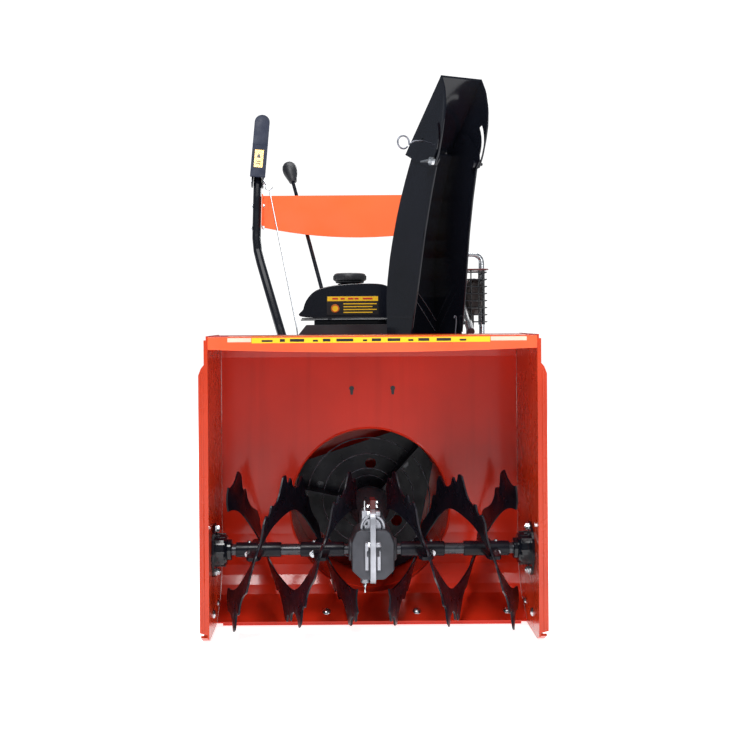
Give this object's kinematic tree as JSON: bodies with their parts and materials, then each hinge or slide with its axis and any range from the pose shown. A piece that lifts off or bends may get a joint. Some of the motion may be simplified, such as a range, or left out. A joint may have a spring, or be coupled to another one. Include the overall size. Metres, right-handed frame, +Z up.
{
  "type": "two stage snowblower",
  "caption": "Walk-behind two stage snowblower with a serrated auger, impeller, turning chute with tilting deflector, engine, wheels and handlebars.",
  "frame": {"origin": "on the ground, under the centre of the machine's plan rectangle", "axes": "+Z up, the open mouth of the auger housing faces -Y, the handlebars are at +Y, +X is to the right when the machine is seen from its front"},
  "size_m": [0.594, 1.3732, 1.1017],
  "materials": {
    "red_paint": "glossy red-orange powder coat",
    "orange_paint": "satin orange powder coat",
    "black_paint": "glossy black paint",
    "cast_aluminium": "raw cast, slightly oxidised",
    "steel": "machined and zinc plated steel",
    "black_plastic": "moulded black plastic",
    "rubber": "black rubber",
    "tyre": "pneumatic snow tyre"
  },
  "bodies": {
    "frame": {"housing_wrap": "red_paint", "side_panel_left": "red_paint", "side_panel_right": "red_paint", "impeller_drum": "red_paint", "scraper_bar": "red_paint", "skid_shoe_left": "red_paint", "skid_shoe_right": "red_paint", "auger_bearing_left": "black_paint", "auger_bearing_right": "black_paint", "chute_base_ring": "black_paint", "gearbox_left": "cast_aluminium", "gearbox_right": "cast_aluminium", "auger_belt": "rubber", "drive_belt": "rubber", "drive_box": "black_paint", "bottom_cover": "black_paint", "belt_cover": "black_plastic", "engine_block": "cast_aluminium", "recoil_starter": "black_paint", "air_box": "black_plastic", "fuel_tank": "black_paint", "muffler": "steel", "muffler_guard": "black_paint", "guard_hoop": "steel", "handle_left": "black_paint", "handle_right": "black_paint", "grip_left": "rubber", "grip_right": "rubber", "cable_left": "steel", "cable_right": "steel", "dash_panel": "orange_paint"},
    "auger": {"auger_left": "black_paint", "auger_right": "black_paint", "auger_shaft": "steel"},
    "impeller_assembly": {"impeller": "black_paint", "impeller_shaft": "steel", "impeller_pulley": "steel"},
    "crankshaft": {"engine_pulley": "steel"},
    "disc_drive": {"drive_disc": "cast_aluminium"},
    "friction_drive": {"friction_wheel": "rubber"},
    "wheels": {"axle": "steel", "rim_left": "orange_paint", "rim_right": "orange_paint", "tyre_left": "tyre", "tyre_right": "tyre"},
    "chute_body": {"chute": "black_paint"},
    "deflector_hood": {"deflector": "black_paint", "deflector_ring": "steel"},
    "wing_nut": {"deflector_wing_nut": "steel"},
    "chute_crank": {"crank_rod": "steel"},
    "auger_lever": {"lever_left": "black_paint"},
    "drive_lever": {"lever_right": "black_paint"},
    "idler": {"idler_arm": "steel"},
    "speed_lever": {"shift_lever": "black_paint", "shift_knob": "black_plastic"},
    "tank_cap": {"fuel_cap": "black_plastic"},
    "starter_handle": {"starter_grip": "black_plastic"},
    "throttle": {"throttle_lever": "black_plastic"},
    "choke": {"choke_lever": "black_plastic"},
    "oil_plug": {"oil_cap": "black_plastic"}
  },
  "joints": [
    {"name": "auger_turn", "type": "hinge", "parent": "frame", "child": "auger", "pos_m": [0, -0.54563, 0.15], "axis": [1, 0, 0], "continuous": true},
    {"name": "impeller_turn", "type": "hinge", "parent": "frame", "child": "impeller_assembly", "pos_m": [0, -0.27863, 0.198], "axis": [0, -1, 0], "continuous": true},
    {"name": "crankshaft_turn", "type": "hinge", "parent": "frame", "child": "crankshaft", "pos_m": [0, -0.17563, 0.412], "axis": [0, -1, 0], "continuous": true},
    {"name": "drive_disc_turn", "type": "hinge", "parent": "frame", "child": "disc_drive", "pos_m": [0, -0.13763, 0.262], "axis": [0, -1, 0], "continuous": true},
    {"name": "friction_wheel_turn", "type": "hinge", "parent": "frame", "child": "friction_drive", "pos_m": [0, -0.00663, 0.262], "axis": [1, 0, 0], "continuous": true},
    {"name": "wheel_roll", "type": "hinge", "parent": "frame", "child": "wheels", "pos_m": [0, 0.07237, 0.165], "axis": [1, 0, 0], "continuous": true},
    {"name": "chute_swivel", "type": "hinge", "parent": "frame", "child": "chute_body", "pos_m": [0.114, -0.28263, 0.51], "axis": [0, 0, 1], "range_deg": [-128, 72]},
    {"name": "deflector_tilt", "type": "hinge", "parent": "chute_body", "child": "deflector_hood", "pos_m": [0.14968, -0.34974, 0.898], "axis": [0.8829, 0.4695, 0], "range_deg": [0, 60]},
    {"name": "wing_nut_turn", "type": "hinge", "parent": "chute_body", "child": "wing_nut", "pos_m": [0.1199, -0.41088, 0.853], "axis": [0.8829, 0.4695, 0], "continuous": true},
    {"name": "chute_crank_turn", "type": "hinge", "parent": "frame", "child": "chute_crank", "pos_m": [0.207, -0.27763, 0.53], "axis": [-0.0077, 0.923, 0.3846], "range_deg": [-1280, 720]},
    {"name": "auger_lever_squeeze", "type": "hinge", "parent": "frame", "child": "auger_lever", "pos_m": [-0.268, 0.48837, 0.92], "axis": [-1, 0, 0], "range_deg": [0, 18], "stiffness_Nm_per_rad": 6, "springref_deg": -20.05},
    {"name": "drive_lever_squeeze", "type": "hinge", "parent": "frame", "child": "drive_lever", "pos_m": [0.268, 0.48837, 0.92], "axis": [-1, 0, 0], "range_deg": [0, 18], "stiffness_Nm_per_rad": 6, "springref_deg": -20.05},
    {"name": "idler_swing", "type": "hinge", "parent": "frame", "child": "idler", "pos_m": [0.124, -0.17563, 0.25], "axis": [0, -1, 0], "range_deg": [0, 18]},
    {"name": "speed_select", "type": "hinge", "parent": "frame", "child": "speed_lever", "pos_m": [-0.022, 0.25437, 0.342], "axis": [0, 1, 0], "range_deg": [-2, 16]},
    {"name": "fuel_cap_turn", "type": "hinge", "parent": "frame", "child": "tank_cap", "pos_m": [-0.031, 0.01737, 0.64], "axis": [0, 0, 1], "range_deg": [0, 90]},
    {"name": "starter_pull", "type": "slide", "parent": "frame", "child": "starter_handle", "axis": [0, 1, 0], "range_m": [0, 0.6], "stiffness_N_per_m": 12, "springref_m": -0.5},
    {"name": "throttle_swing", "type": "hinge", "parent": "frame", "child": "throttle", "pos_m": [-0.15, -0.00763, 0.47], "axis": [-1, 0, 0], "range_deg": [0, 50]},
    {"name": "choke_swing", "type": "hinge", "parent": "frame", "child": "choke", "pos_m": [-0.15, 0.04237, 0.47], "axis": [-1, 0, 0], "range_deg": [0, 50]},
    {"name": "oil_cap_turn", "type": "hinge", "parent": "frame", "child": "oil_plug", "pos_m": [-0.09, 0.07237, 0.36], "axis": [1, 0, 0], "continuous": true}
  ],
  "couplings": [
    {"joint": "impeller_turn", "follows": "auger_turn", "ratio": 10},
    {"joint": "chute_crank_turn", "follows": "chute_swivel", "ratio": 8},
    {"joint": "idler_swing", "follows": "auger_lever_squeeze", "ratio": 1}
  ]
}
